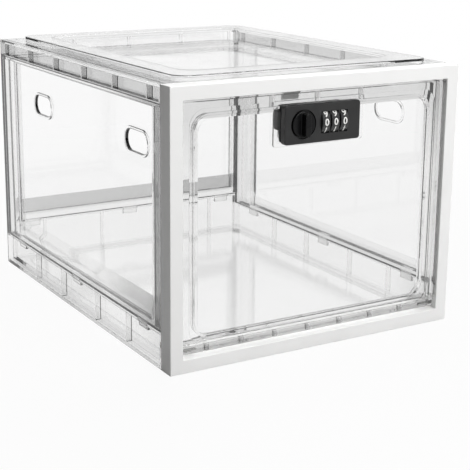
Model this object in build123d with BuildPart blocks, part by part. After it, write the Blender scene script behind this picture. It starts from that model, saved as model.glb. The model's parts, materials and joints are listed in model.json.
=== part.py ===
from build123d import *
import math
import os

os.makedirs("parts", exist_ok=True)

# A clear, stackable lock box: five clear mouldings that snap together behind a white front frame, a
# clear drop-down door hinged at its bottom edge, and a black three-wheel code lock near the door's top.
# X runs across the front, Y from the front to the back, Z up. Places along Y are given as distances
# behind the frame's front face and turned into Y by behind().

# Whole box
box_width = 280.0
box_depth = 360.0  # frame's front face to the back
box_height = 230.0  # to the lid's flange, which is level with the frame's top
wall = 2.2  # wall of the clear mouldings
fit_gap = 0.3  # gap between mouldings that plug into each other

# White front frame: a U channel at the top and bottom, an angle at the sides, open to the back
frame_border = 11.5
frame_depth = 16.0
frame_wall = 2.2
frame_face = 2.5
frame_edge_radius = 0.7

# Base tray
tray_height = 31.5
tray_back = 43.0  # height of the tray's back wall, between the side panels
tray_flange = 2.2  # top flange of the tray's skirt
tray_foot = 3.5  # lowest band of the skirt, under its cells
floor_thickness = 2.2
cell_depth = 5.0  # how far the skirts' cells are sunk into the outer face
rib_thickness = 2.0
tray_rib_inner = 38.0  # ribs of the tray's sides, from the middle of the depth
tray_rib_outer = 100.0
back_rib_pitch = 65.3
front_rib_pitch = 33.0
front_sill = 19.0  # height of the tray's front wall, behind the door

# Lid
lid_skirt = 16.0
lid_skirt_flange = 2.0
lid_cell_top = 3.0
lid_rib_first = 38.5
lid_rib_pitch = 61.8
rim_inset = 16.0  # stacking rim, in from the sides and the back
rim_front = 18.0  # stacking rim's front, behind the front face
rim_height = 4.5
rim_radius = 14.0
lid_window_inset = 37.0
lid_window_front = 45.0
lid_window_drop = 8.0  # the clear window lies this far below the lid's flange
lid_window_radius = 15.0
stack_gap = 0.5  # gap round the rim of the box below, when stacked

# Side and back panels
panel_thickness = 8.0
sheet_inset = 3.0  # outer face of the thin window sheet, in from the panel's outer face
side_rail = 14.5  # plain bottom rail, above the tray
side_rail_slope = 6.0  # sloped step from the rail to the sheet
side_ledge = 5.0  # ledge inside, above the tray
top_rail = 3.0
front_post = 14.0  # window's front edge outside, behind the frame
front_post_inside = 18.0
front_cell_end = 12.0  # rear end of the front post's cells, behind the frame
rear_post = 37.0
front_post_pitch = 27.6
rear_post_pitch = 43.0
back_rail = 17.0
back_ledge = 8.5
back_post = 8.0

# Vent slots in the side panels
slot_length = 40.0
slot_height = 18.0
left_slots = (61.5, 257.0)  # centres, behind the front face
right_slots = (89.0, 257.0)
slot_z = 178.0
slot_rim = 2.0
slot_rim_height = 1.2

# Snap hooks under the panels, in slots of the tray's top flange
hook_width = 16.0
hook_reach = 7.0
hook_thickness = 1.8
hook_barb = 0.8
side_hook_first = 51.5
side_hook_pitch = 134.8
side_hook_count = 3
back_hook_pitch = 112.0
back_hook_count = 3

# Door
door_gap = 0.7
door_setback = 5.0  # door's border, behind the frame's front face
door_rim_depth = 8.0
door_skin = 2.4
door_panel_drop = 2.5  # window of the door, behind the border's face
slope_outer_margin = 7.2  # the door's face slopes back between these two rounded outlines
slope_inner_margin = 15.8
slope_outer_radius = 14.5
slope_inner_radius = 10.5
outline_step = 0.6  # small upright step at each outline
door_rib = 1.6  # ribs in the hollow rim above the lock
door_rear_wall = 2.2
hinge_pin_radius = 1.5
hinge_pin_in_door = 14.0
hinge_pin_in_frame = 5.0
running_gap = 0.08
socket_size = 9.0

# Lock: face in front of the door, case behind it
lock_width = 73.5
lock_height = 32.0
lock_drop = 38.5  # centre of the lock, below the box's top
lock_proud = 6.0  # face of the lock, in front of its seat on the door
lock_corner = 2.5
seat_margin = 7.0  # clear seat on the door, wider than the lock at both sides
seat_below = 2.0
seat_step = 1.5  # seat, in front of the door's window
sleeve_half_width = 30.8
sleeve_half_height = 13.8
case_flange = 2.0
case_wall = 1.6
case_side_high = 12.5  # block at the case's left end, above and below the lock's middle
case_side_low = 6.0
case_side_depth = 7.6
plate_thickness = 1.6

# Number wheels
wheel_radius = 11.5
wheel_width = 7.4
wheel_pitch = 9.0
wheels_x = 11.0
wheel_setback = 8.8
wheel_slot_gap = 0.3
window_wall = 1.2
axle_radius = 1.5
digit_count = 10
groove_radius = 0.8
groove_sink = 0.35

# Knob, spindle and cam
knob_x = -19.0
knob_recess_radius = 12.0
knob_recess_depth = 2.6
knob_radius = 10.8
knob_disc_front = -1.0
knob_proud = 7.5  # grip, in front of the frame's front face
knob_grip_width = 5.4
knob_grip_height = 19.5
knob_stem_radius = 4.4
spindle_radius = 3.0
spindle_square = 4.4
barrel_radius = 10.5
cam_thickness = 2.0
cam_width = 12.0
cam_hub_radius = 8.0
cam_reach = 27.0
cam_gap = 0.5
keeper_width = 16.0
keeper_drop = 9.5
keeper_thickness = 2.0

# Small screws
case_screw_radius = 1.0
case_screw_head = 1.9
case_screw_length = 8.0
case_screw_rise = 8.6  # screws, above and below the lock's middle
mount_screw_radius = 1.2
mount_screw_head = 2.3
mount_screw_head_height = 1.5
mount_screw_x = 33.7
mount_screw_drop = 10.5  # below the lock's middle
cam_screw_radius = 1.3
cam_screw_head = 3.4
cam_screw_head_height = 1.6
cam_screw_length = 7.0
washer_thickness = 0.6
washer_radius = 4.6

# Worked-out places
half_width = box_width / 2
back_x = half_width - panel_thickness  # inner faces of the side panels
front_y = (knob_proud - box_depth) / 2  # centres the whole box, knob included, on Y = 0


def behind(distance):
    """Y of a plane this far behind the frame's front face."""
    return front_y + distance


def block(x, y, z, mode=Mode.ADD):
    """A box between pairs of X, distances behind the front face, and Z."""
    centre = ((x[0] + x[1]) / 2, behind((y[0] + y[1]) / 2), (z[0] + z[1]) / 2)
    with Locations(centre):
        Box(abs(x[1] - x[0]), abs(y[1] - y[0]), abs(z[1] - z[0]), mode=mode)


def facing(distance):
    """Plane parallel to the front, facing forward, with its local axes along X and Z."""
    return Plane(origin=(0, behind(distance), 0), x_dir=(1, 0, 0), z_dir=(0, -1, 0))


def round_bar(x, z, radius, y, mode=Mode.ADD):
    """A round bar along Y at X, Z, between two distances behind the front face."""
    with BuildSketch(facing(y[1])) as section:
        with Locations((x, z)):
            Circle(radius)
    extrude(section.sketch, amount=y[1] - y[0], mode=mode)


def rounded_block(x, z, radius, y, mode=Mode.ADD):
    """A block with corners rounded about Y, between pairs of X, Z and distances behind the front face."""
    with BuildSketch(facing(y[1])) as section:
        with Locations(((x[0] + x[1]) / 2, (z[0] + z[1]) / 2)):
            RectangleRounded(x[1] - x[0], z[1] - z[0], radius)
    extrude(section.sketch, amount=y[1] - y[0], mode=mode)


def flat_block(x, y, radius, z, mode=Mode.ADD):
    """A block with corners rounded about Z, between pairs of X, distances behind the front face and Z."""
    with BuildSketch(Plane.XY.offset(z[0])) as section:
        with Locations(((x[0] + x[1]) / 2, behind((y[0] + y[1]) / 2))):
            RectangleRounded(x[1] - x[0], y[1] - y[0], radius)
    extrude(section.sketch, amount=z[1] - z[0], mode=mode)


def spans(low, high, ribs):
    """The open stretches between low and high that the ribs, given by their centres, leave."""
    inside = [r for r in ribs if low + 2 * rib_thickness < r < high - 2 * rib_thickness]
    starts = [low] + [r + rib_thickness / 2 for r in inside]
    ends = [r - rib_thickness / 2 for r in inside] + [high]
    return list(zip(starts, ends))


def centred_places(centre, pitch, reach):
    """Places at a pitch, either side of a centre, that lie within reach of it."""
    count = int(reach // pitch)
    return [centre + i * pitch for i in range(-count, count + 1)]


def save(piece, name):
    piece.part.label = name
    export_step(piece.part, f"parts/{name}.step")


# White front frame
opening_x = half_width - frame_border
opening_top = box_height - frame_border
door_bottom = frame_border + door_gap
door_top = opening_top - door_gap
door_x = opening_x - door_gap
hinge_behind = door_setback + door_rim_depth / 2
hinge_z = door_bottom + door_rim_depth / 2
lock_z = box_height - lock_drop
mount_screw_z = lock_z - mount_screw_drop
seat_behind = door_setback + door_panel_drop - seat_step
panel_rear = door_setback + door_panel_drop + door_skin
lock_front = seat_behind - lock_proud
wheel_behind = lock_front + wheel_setback
chamber_rear = wheel_behind + wheel_radius + 1.2
plate_rear = chamber_rear + plate_thickness
cam_front = plate_rear + cam_gap
cam_rear = cam_front + cam_thickness
keeper_rear = cam_front - cam_gap
keeper_x = (knob_x - keeper_width / 2, knob_x + keeper_width / 2)
socket_inner = opening_x
socket_outer = half_width - frame_wall

with BuildPart() as front_frame:
    block((-half_width, half_width), (0, frame_depth), (0, box_height))
    block((-opening_x, opening_x), (0, frame_depth), (frame_border, opening_top), Mode.SUBTRACT)
    front_edges = front_frame.edges().filter_by_position(Axis.Y, front_y, front_y)
    corner_edges = front_frame.edges().filter_by(Axis.Y).group_by(SortBy.DISTANCE)[-1]
    fillet(front_edges + corner_edges, frame_edge_radius)
    with BuildSketch(facing(frame_depth)) as channel:
        with Locations((0, box_height / 2)):
            Rectangle(box_width - 2 * frame_wall, box_height - 2 * frame_wall)
            Rectangle(
                2 * (opening_x + frame_wall), opening_top - frame_border + 2 * frame_wall, mode=Mode.SUBTRACT
            )
    extrude(channel.sketch, amount=frame_depth - frame_face, mode=Mode.SUBTRACT)
    # Hinge sockets beside the opening, and the holes that the door's pins turn in
    socket_y = (frame_face, hinge_behind + socket_size / 2)
    socket_z = (frame_border - frame_wall, hinge_z + socket_size / 2)
    for side in (-1, 1):
        side_wall = (side * opening_x, side * (opening_x + frame_wall))
        block(side_wall, (frame_face, frame_depth), (socket_z[1], opening_top), Mode.SUBTRACT)
        block((side * socket_inner, side * socket_outer), socket_y, socket_z)
        socket_end = (side * socket_inner, behind(hinge_behind), hinge_z)
        with Locations(Plane(origin=socket_end, z_dir=(side, 0, 0))):
            Cylinder(
                hinge_pin_radius + running_gap,
                hinge_pin_in_frame + 2 * fit_gap,
                align=(Align.CENTER, Align.CENTER, Align.MIN),
                mode=Mode.SUBTRACT,
            )
    # Keeper that the cam turns up behind
    block(keeper_x, (frame_depth - 1, keeper_rear), (opening_top, opening_top + frame_wall))
    keeper_y = (keeper_rear - keeper_thickness, keeper_rear)
    block(keeper_x, keeper_y, (opening_top - keeper_drop, opening_top + frame_wall))
save(front_frame, "front_frame")

# Base tray
floor_bottom = rim_height + fit_gap
floor_top = floor_bottom + floor_thickness
web_inset = cell_depth + wall
rib_offsets = (-tray_rib_outer, -tray_rib_inner, tray_rib_inner, tray_rib_outer)
side_ribs = [box_depth / 2 + offset for offset in rib_offsets]
front_ribs = centred_places(0, front_rib_pitch, half_width - web_inset - wall)
back_ribs = centred_places(back_rib_pitch / 2, back_rib_pitch, half_width)
side_hooks = [side_hook_first + i * side_hook_pitch for i in range(side_hook_count)]
back_hooks = [(i - (back_hook_count - 1) / 2) * back_hook_pitch for i in range(back_hook_count)]
hook_outer = cell_depth - hook_thickness - fit_gap
tongue_out = frame_wall + fit_gap  # outer face of the tongues that plug into the frame
tongue_front = frame_face + 2 * fit_gap
cell_ends = (frame_depth + wall, box_depth - wall)
cell_z = (tray_foot, tray_height - tray_flange)

with BuildPart() as base_tray:
    block((-half_width, half_width), (frame_depth, box_depth), (0, tray_height))
    inner_x = half_width - web_inset
    inner_y = (frame_depth + web_inset, box_depth - web_inset)
    block((-inner_x, inner_x), inner_y, (floor_top, tray_height), Mode.SUBTRACT)
    block((-back_x, back_x), (inner_y[1], box_depth), (tray_height, tray_back))
    # Underside recess that takes the rim of a box below
    recess_x = half_width - rim_inset + stack_gap
    recess_y = (rim_front - stack_gap, box_depth - rim_inset + stack_gap)
    flat_block((-recess_x, recess_x), recess_y, rim_radius, (0, floor_bottom), Mode.SUBTRACT)
    for side in (-1, 1):
        for start, end in spans(*cell_ends, side_ribs):
            cell_x = (side * half_width, side * (half_width - cell_depth))
            block(cell_x, (start, end), cell_z, Mode.SUBTRACT)
    block((-inner_x, inner_x), (frame_depth, inner_y[0]), (front_sill, tray_height), Mode.SUBTRACT)
    front_cell_z = (floor_bottom + wall, front_sill - tray_flange)
    for start, end in spans(-half_width + web_inset, half_width - web_inset, front_ribs):
        block((start, end), (frame_depth, frame_depth + cell_depth), front_cell_z, Mode.SUBTRACT)
    back_cell_z = (tray_foot, tray_back - tray_flange)
    for start, end in spans(wall - back_x, back_x - wall, back_ribs):
        block((start, end), (box_depth - cell_depth, box_depth), back_cell_z, Mode.SUBTRACT)
    # Slots for the panels' snap hooks
    slot_half = hook_width / 2 + fit_gap
    for side in (-1, 1):
        for place in side_hooks:
            barb_x = half_width - hook_outer + hook_barb + fit_gap
            hook_x = (side * barb_x, side * (half_width - cell_depth))
            hook_y = (place - slot_half, place + slot_half)
            block(hook_x, hook_y, (tray_height - tray_flange, tray_height), Mode.SUBTRACT)
    for place in back_hooks:
        hook_y = (box_depth - hook_outer + hook_barb + fit_gap, box_depth - cell_depth)
        hook_x = (place - slot_half, place + slot_half)
        block(hook_x, hook_y, (tray_back - tray_flange, tray_back), Mode.SUBTRACT)
    # Tongue into the frame's bottom channel
    tongue_x = half_width - frame_border
    block((-tongue_x, tongue_x), (tongue_front, frame_depth), (tongue_out, tongue_out + wall))
save(base_tray, "base_tray")

# Side panels
panel_top = box_height - lid_skirt
window_y = (frame_depth + front_post, box_depth - rear_post)
window_z = (tray_height + side_rail + side_rail_slope, panel_top - top_rail)
inside_window_y = (frame_depth + front_post_inside, window_y[1])
sheet_back = sheet_inset + wall  # inner face of the window sheet


def recess_outline(skin, sheet, inner, ledge_z, slope_z, top_z):
    """Outline of a window's recess from inside, with the same wall behind the sloped step."""
    Polyline((inner, ledge_z), (skin, ledge_z), (skin, slope_z[0]), (sheet, slope_z[1]), (sheet, top_z),
             (inner, top_z), close=True)


def side_panel(side, slot_centres):
    """Side panel: +1 on the right, -1 on the left."""
    outer = side * half_width
    inner = side * (half_width - panel_thickness)
    sheet_outer = side * (half_width - sheet_inset)
    sheet_inner = side * (half_width - sheet_back)
    skin = side * (half_width - wall)
    plug = side * (half_width - tongue_out)  # outer face of the part that stands in the frame
    post_ribs = [panel_top - front_post_pitch * (i + 1) for i in range(int(panel_top / front_post_pitch))]
    rear_ribs = [panel_top - rear_post_pitch * (i + 1) for i in range(int(panel_top / rear_post_pitch))]
    with BuildPart() as panel:
        block((outer, inner), (frame_depth, box_depth), (tray_height, panel_top))
        block((plug, inner), (tongue_front, frame_depth), (tray_height, panel_top))
        block((outer, sheet_outer), window_y, window_z, Mode.SUBTRACT)
        # Sloped step between the bottom rail and the sheet
        with BuildSketch(Plane.XZ.offset(-behind(window_y[0]))) as slope:
            with BuildLine():
                Polyline(
                    (outer, window_z[0] - side_rail_slope),
                    (outer, window_z[0]),
                    (sheet_outer, window_z[0]),
                    close=True,
                )
            make_face()
        extrude(slope.sketch, amount=-(window_y[1] - window_y[0]), mode=Mode.SUBTRACT)
        with BuildSketch(Plane.XZ.offset(-behind(inside_window_y[0]))) as recess:
            with BuildLine():
                slope_z = (window_z[0] - side_rail_slope, window_z[0])
                recess_outline(skin, sheet_inner, inner, tray_height + side_ledge, slope_z, window_z[1])
            make_face()
        extrude(recess.sketch, amount=-(inside_window_y[1] - inside_window_y[0]), mode=Mode.SUBTRACT)
        # Hollow posts, ribbed and open to the inside
        post_end = frame_depth + front_cell_end
        rear_y = (window_y[1] + wall, box_depth - panel_thickness - wall)
        for start, end in spans(tray_height + wall, panel_top - wall, post_ribs):
            block((plug - side * wall, inner), (tongue_front + wall, post_end), (start, end), Mode.SUBTRACT)
            block((skin, inner), (frame_depth + wall, post_end), (start, end), Mode.SUBTRACT)
        for start, end in spans(tray_height + wall, panel_top - wall, rear_ribs):
            block((skin, inner), rear_y, (start, end), Mode.SUBTRACT)
        # Vent slots with a raised rim
        for place in slot_centres:
            slot_middle = (sheet_inner, behind(place), slot_z)
            lower_slot = Plane(origin=slot_middle, x_dir=(0, 1, 0), z_dir=(side, 0, 0))
            with BuildSketch(lower_slot) as rim:
                SlotOverall(slot_length + 2 * slot_rim, slot_height + 2 * slot_rim)
            extrude(rim.sketch, amount=wall + slot_rim_height)
            with BuildSketch(lower_slot) as hole:
                SlotOverall(slot_length, slot_height)
            extrude(hole.sketch, amount=wall + slot_rim_height, mode=Mode.SUBTRACT)
        # Snap hooks
        for place in side_hooks:
            hook_y = (place - hook_width / 2, place + hook_width / 2)
            hook_x = (side * (half_width - hook_outer), side * (half_width - hook_outer - hook_thickness))
            block(hook_x, hook_y, (tray_height - hook_reach, tray_height + wall))
            barb_x = (side * (half_width - hook_outer + hook_barb), side * (half_width - hook_outer))
            barb_z = (tray_height - hook_reach, tray_height - tray_flange - fit_gap)
            block(barb_x, hook_y, barb_z)
    return panel


left_panel = side_panel(-1, left_slots)
save(left_panel, "left_panel")
right_panel = side_panel(1, right_slots)
save(right_panel, "right_panel")

# Back panel, between the side panels
back_window_x = back_x - back_post
back_window_z = (tray_back + back_rail + side_rail_slope, panel_top - top_rail)

with BuildPart() as back_panel:
    block((-back_x, back_x), (box_depth - panel_thickness, box_depth), (tray_back, panel_top))
    sheet_y = (box_depth - sheet_inset, box_depth)
    block((-back_window_x, back_window_x), sheet_y, back_window_z, Mode.SUBTRACT)
    with BuildSketch(Plane.YZ.offset(-back_window_x)) as slope:
        with BuildLine():
            Polyline(
                (behind(box_depth), back_window_z[0] - side_rail_slope),
                (behind(box_depth), back_window_z[0]),
                (behind(box_depth - sheet_inset), back_window_z[0]),
                close=True,
            )
        make_face()
    extrude(slope.sketch, amount=2 * back_window_x, mode=Mode.SUBTRACT)
    with BuildSketch(Plane.YZ.offset(-back_window_x)) as recess:
        with BuildLine():
            slope_z = (back_window_z[0] - side_rail_slope, back_window_z[0])
            faces_y = [behind(box_depth - inset) for inset in (wall, sheet_back, panel_thickness)]
            recess_outline(*faces_y, tray_back + back_ledge, slope_z, back_window_z[1])
        make_face()
    extrude(recess.sketch, amount=2 * back_window_x, mode=Mode.SUBTRACT)
    pocket_y = (box_depth - panel_thickness, box_depth - wall)
    post_ribs = [panel_top - rear_post_pitch * (i + 1) for i in range(int(panel_top / rear_post_pitch))]
    for side in (-1, 1):
        post_x = (side * (back_window_x + wall), side * (back_x - wall))
        for start, end in spans(tray_back + wall, panel_top - wall, post_ribs):
            block(post_x, pocket_y, (start, end), Mode.SUBTRACT)
    for place in back_hooks:
        hook_x = (place - hook_width / 2, place + hook_width / 2)
        hook_y = (box_depth - hook_outer - hook_thickness, box_depth - hook_outer)
        block(hook_x, hook_y, (tray_back - hook_reach, tray_back + wall))
        barb_y = (box_depth - hook_outer, box_depth - hook_outer + hook_barb)
        block(hook_x, barb_y, (tray_back - hook_reach, tray_back - tray_flange - fit_gap))
save(back_panel, "back_panel")

# Lid: ribbed skirt, raised stacking rim and a sunk window
lid_ribs = [lid_rib_first + i * lid_rib_pitch for i in range(int(box_depth / lid_rib_pitch) + 1)]
lid_back_ribs = centred_places(0, lid_rib_pitch, half_width - web_inset - wall)
rim_top = box_height + rim_height
window_top = box_height - lid_window_drop

with BuildPart() as lid:
    block((-half_width, half_width), (frame_depth, box_depth), (panel_top, box_height))
    inner_x = half_width - web_inset
    inner_y = (frame_depth, box_depth - web_inset)
    block((-inner_x, inner_x), inner_y, (panel_top, box_height - wall), Mode.SUBTRACT)
    cell_z = (panel_top + lid_skirt_flange, box_height - lid_cell_top)
    for side in (-1, 1):
        for start, end in spans(frame_depth + wall, box_depth - wall, lid_ribs):
            cell_x = (side * half_width, side * (half_width - cell_depth))
            block(cell_x, (start, end), cell_z, Mode.SUBTRACT)
    for start, end in spans(-half_width + web_inset, half_width - web_inset, lid_back_ribs):
        block((start, end), (box_depth - cell_depth, box_depth), cell_z, Mode.SUBTRACT)
    rim_x = half_width - rim_inset
    rim_y = (rim_front, box_depth - rim_inset)
    flat_block((-rim_x, rim_x), rim_y, rim_radius, (box_height - wall, rim_top))
    rim_edges = lid.faces().sort_by(Axis.Z)[-1].edges()
    fillet(rim_edges, wall / 2)
    under_y = (rim_y[0] + wall, rim_y[1] - wall)
    under_z = (box_height - wall, rim_top - wall)
    flat_block((wall - rim_x, rim_x - wall), under_y, rim_radius - wall, under_z, Mode.SUBTRACT)
    window_x = half_width - lid_window_inset
    window_lid_y = (lid_window_front, box_depth - lid_window_inset)
    tub_y = (window_lid_y[0] - wall, window_lid_y[1] + wall)
    tub_x = window_x + wall
    flat_block((-tub_x, tub_x), tub_y, lid_window_radius + wall, (window_top - wall, rim_top - wall))
    flat_block((-window_x, window_x), window_lid_y, lid_window_radius, (window_top, rim_top), Mode.SUBTRACT)
    # Tongue into the frame's top channel
    tongue_z = (box_height - tongue_out - wall, box_height - tongue_out)
    tongue_x = half_width - frame_border
    block((-tongue_x, tongue_x), (tongue_front, frame_depth + wall), tongue_z)
    block((-tongue_x, tongue_x), (frame_depth, frame_depth + wall), (tongue_z[0], box_height))
save(lid, "lid")

# Door
door_rear = door_setback + door_rim_depth
window_front = door_setback + door_panel_drop


def door_span(margin):
    """X and Z limits of the door, in from its edges by a margin."""
    return (margin - door_x, door_x - margin), (door_bottom + margin, door_top - margin)


with BuildPart() as door:
    door_sides, door_ends = door_span(0)
    block(door_sides, (door_setback, door_rear), (hinge_z, door_ends[1]))
    # Face, which slopes back to the window
    door_middle = (door_bottom + door_top) / 2
    slope_start = door_setback + outline_step
    slope_end = window_front - outline_step
    outer_step = (door_setback, slope_start)
    rounded_block(*door_span(slope_outer_margin), slope_outer_radius, outer_step, Mode.SUBTRACT)
    outlines = (
        (slope_start, slope_outer_margin, slope_outer_radius),
        (slope_end, slope_inner_margin, slope_inner_radius),
    )
    for depth, margin, radius in outlines:
        with BuildSketch(facing(depth)):
            with Locations((0, door_middle)):
                RectangleRounded(2 * (door_x - margin), door_top - door_bottom - 2 * margin, radius)
    loft(ruled=True, mode=Mode.SUBTRACT)
    inner_step = (slope_end, window_front)
    rounded_block(*door_span(slope_inner_margin), slope_inner_radius, inner_step, Mode.SUBTRACT)
    # Hollow back: the window's rear, and a channel round it with a standing wall between them
    window_rear_margin = slope_inner_margin - door_rear_wall
    rear_radius = slope_inner_radius + door_rear_wall
    rounded_block(*door_span(window_rear_margin), rear_radius, (panel_rear, door_rear), Mode.SUBTRACT)
    with BuildSketch(facing(door_rear)) as rear_channel:
        outer_x, outer_z = door_span(door_rear_wall)
        wall_x, wall_z = door_span(window_rear_margin - door_rear_wall)
        with Locations((0, door_middle)):
            Rectangle(outer_x[1] - outer_x[0], outer_z[1] - outer_z[0])
            RectangleRounded(
                wall_x[1] - wall_x[0], wall_z[1] - wall_z[0], rear_radius + door_rear_wall, mode=Mode.SUBTRACT
            )
    extrude(rear_channel.sketch, amount=door_rim_depth - door_skin, mode=Mode.SUBTRACT)
    seat_x = lock_width / 2 + seat_margin
    for place in (-seat_x, 0, seat_x):
        rib_x = (place - door_rib / 2, place + door_rib / 2)
        block(rib_x, (door_setback, door_rear), (wall_z[1], door_ends[1]))
    # Solid bottom rail, rounded about the hinge axis, with bores for the pins
    block(door_sides, (door_setback, door_rear), (hinge_z, door_bottom + slope_outer_margin))
    with Locations(Plane(origin=(0, behind(hinge_behind), hinge_z), z_dir=(1, 0, 0))):
        Cylinder(door_rim_depth / 2, 2 * door_x)
    for side in (-1, 1):
        with Locations(Plane(origin=(side * door_x, behind(hinge_behind), hinge_z), z_dir=(-side, 0, 0))):
            Cylinder(
                hinge_pin_radius,
                hinge_pin_in_door,
                align=(Align.CENTER, Align.CENTER, Align.MIN),
                mode=Mode.SUBTRACT,
            )
    # Flat seat for the lock, which breaks the slope, with a cut-out for the lock's sleeve
    seat_z = (lock_z - lock_height / 2 - seat_below, door_top - slope_outer_margin)
    rounded_block((-seat_x, seat_x), seat_z, lock_corner, (seat_behind, panel_rear))
    rounded_block((-seat_x, seat_x), seat_z, lock_corner, (door_setback, seat_behind), Mode.SUBTRACT)
    face_z = (lock_z - lock_height / 2 - fit_gap, lock_z + lock_height / 2 + fit_gap)
    sleeve_x = sleeve_half_width + fit_gap
    sleeve_z = (lock_z - sleeve_half_height - fit_gap, lock_z + sleeve_half_height + fit_gap)
    block((-sleeve_x, sleeve_x), (seat_behind, door_rear), sleeve_z, Mode.SUBTRACT)
    # Room behind the door for the flange of the lock's case
    flange_x = lock_width / 2 + fit_gap
    rounded_block((-flange_x, flange_x), face_z, lock_corner, (panel_rear, door_rear), Mode.SUBTRACT)
    for side in (-1, 1):
        hole_radius = mount_screw_radius + fit_gap
        round_bar(side * mount_screw_x, mount_screw_z, hole_radius, (seat_behind, panel_rear), Mode.SUBTRACT)
save(door, "door")

for side, name in ((-1, "hinge_pin_left"), (1, "hinge_pin_right")):
    with BuildPart() as hinge_pin:
        with Locations(Plane(origin=(side * door_x, behind(hinge_behind), hinge_z), z_dir=(side, 0, 0))):
            Cylinder(
                hinge_pin_radius, door_gap + hinge_pin_in_frame, align=(Align.CENTER, Align.CENTER, Align.MIN)
            )
            with Locations((0, 0, -hinge_pin_in_door)):
                Cylinder(
                    hinge_pin_radius, hinge_pin_in_door, align=(Align.CENTER, Align.CENTER, Align.MIN)
                )
        chamfer(hinge_pin.edges().filter_by(GeomType.CIRCLE).group_by(Axis.X)[side], hinge_pin_radius / 4)
    save(hinge_pin, name)

# Lock face: front tub of the lock, with the knob's recess and the wheels' window
lock_low = lock_z - lock_height / 2
lock_high = lock_z + lock_height / 2
chamber_x = (wheels_x - 1.5 * wheel_pitch - fit_gap, wheels_x + 1.5 * wheel_pitch + fit_gap)
chamber_half_height = wheel_radius + 0.8
chamber_z = (lock_z - chamber_half_height, lock_z + chamber_half_height)
wheel_places = [wheels_x + (i - 1) * wheel_pitch for i in range(3)]
window_depth = wheel_behind - lock_front - window_wall
window_half = math.sqrt(wheel_radius**2 - window_depth**2) + wheel_slot_gap
case_screw_x = (knob_x - case_screw_rise, chamber_x[1] + case_wall + case_screw_head)
case_screw_places = [(x, lock_z + side * case_screw_rise) for x in case_screw_x for side in (-1, 1)]

with BuildPart() as lock_face:
    face_x = (-lock_width / 2, lock_width / 2)
    rounded_block(face_x, (lock_low, lock_high), lock_corner, (lock_front, seat_behind))
    front_face = lock_face.faces().sort_by(Axis.Y)[0]
    fillet(front_face.edges(), 0.9)
    sleeve_z = (lock_z - sleeve_half_height, lock_z + sleeve_half_height)
    block((-sleeve_half_width, sleeve_half_width), (seat_behind, panel_rear), sleeve_z)
    recess_floor = lock_front + knob_recess_depth
    round_bar(knob_x, lock_z, knob_recess_radius, (lock_front, recess_floor), Mode.SUBTRACT)
    round_bar(knob_x, lock_z, knob_stem_radius + running_gap, (recess_floor, panel_rear), Mode.SUBTRACT)
    block(chamber_x, (lock_front + window_wall, panel_rear), chamber_z, Mode.SUBTRACT)
    for place in wheel_places:
        slot_x = (place - wheel_width / 2 - wheel_slot_gap, place + wheel_width / 2 + wheel_slot_gap)
        slot_high_low = (lock_z - window_half, lock_z + window_half)
        block(slot_x, (lock_front, lock_front + window_wall), slot_high_low, Mode.SUBTRACT)
    for side in (-1, 1):
        pilot = (lock_front + window_wall + 1, seat_behind)
        round_bar(side * mount_screw_x, mount_screw_z, mount_screw_radius, pilot, Mode.SUBTRACT)
    with Locations(Plane(origin=(wheels_x, behind(wheel_behind), lock_z), z_dir=(1, 0, 0))):
        Cylinder(axle_radius, chamber_x[1] - chamber_x[0] + 2 * case_wall, mode=Mode.SUBTRACT)
save(lock_face, "lock_face")

# Lock case behind the door: chamber for the wheels, barrel for the spindle
flange_rear = panel_rear + case_flange

with BuildPart() as lock_case:
    flange_z = (lock_low + 0.8, lock_high - 0.8)
    flange_half = lock_width / 2 - 0.8
    rounded_block((-flange_half, flange_half), flange_z, lock_corner, (panel_rear, flange_rear))
    side_x = (-flange_half, chamber_x[0])
    side_z = (lock_z - case_side_low, lock_z + case_side_high)
    rounded_block(side_x, side_z, lock_corner, (flange_rear, flange_rear + case_side_depth))
    body_x = (chamber_x[0] - case_wall, chamber_x[1] + case_wall)
    body_z = (chamber_z[0] - case_wall, chamber_z[1] + case_wall)
    block(body_x, (flange_rear, chamber_rear), body_z)
    round_bar(knob_x, lock_z, barrel_radius, (flange_rear, chamber_rear))
    bridge_z = (lock_z - barrel_radius * 0.7, lock_z + barrel_radius * 0.7)
    block((knob_x, chamber_x[0] - case_wall), (flange_rear, chamber_rear), bridge_z)
    for x, z in case_screw_places:
        round_bar(x, z, case_screw_radius + case_wall, (flange_rear, chamber_rear))
    block(chamber_x, (panel_rear, chamber_rear), chamber_z, Mode.SUBTRACT)
    round_bar(knob_x, lock_z, spindle_radius + running_gap, (panel_rear, chamber_rear), Mode.SUBTRACT)
    screw_tip = plate_rear - case_screw_length
    for x, z in case_screw_places:
        round_bar(x, z, case_screw_radius, (screw_tip, chamber_rear), Mode.SUBTRACT)
    for side in (-1, 1):
        screw_hole = (panel_rear, flange_rear)
        round_bar(side * mount_screw_x, mount_screw_z, mount_screw_radius, screw_hole, Mode.SUBTRACT)
    with Locations(Plane(origin=(wheels_x, behind(wheel_behind), lock_z), z_dir=(1, 0, 0))):
        Cylinder(axle_radius, chamber_x[1] - chamber_x[0] + 2 * case_wall, mode=Mode.SUBTRACT)
save(lock_case, "lock_case")


def countersink(x, z, mode):
    """Countersunk head at the rear of the lock's back plate."""
    with BuildSketch(facing(plate_rear)) as wide_end:
        with Locations((x, z)):
            Circle(case_screw_head)
    extrude(wide_end.sketch, amount=case_screw_head - case_screw_radius, taper=45, mode=mode)


with BuildPart() as lock_back_plate:
    boss_radius = case_screw_radius + case_wall
    plate_x = (case_screw_x[0] - boss_radius, case_screw_x[1] + boss_radius)
    rounded_block(plate_x, body_z, lock_corner, (chamber_rear, plate_rear))
    round_bar(knob_x, lock_z, spindle_radius + running_gap, (chamber_rear, plate_rear), Mode.SUBTRACT)
    for x, z in case_screw_places:
        round_bar(x, z, case_screw_radius, (chamber_rear, plate_rear), Mode.SUBTRACT)
        countersink(x, z, Mode.SUBTRACT)
save(lock_back_plate, "lock_back_plate")

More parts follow.
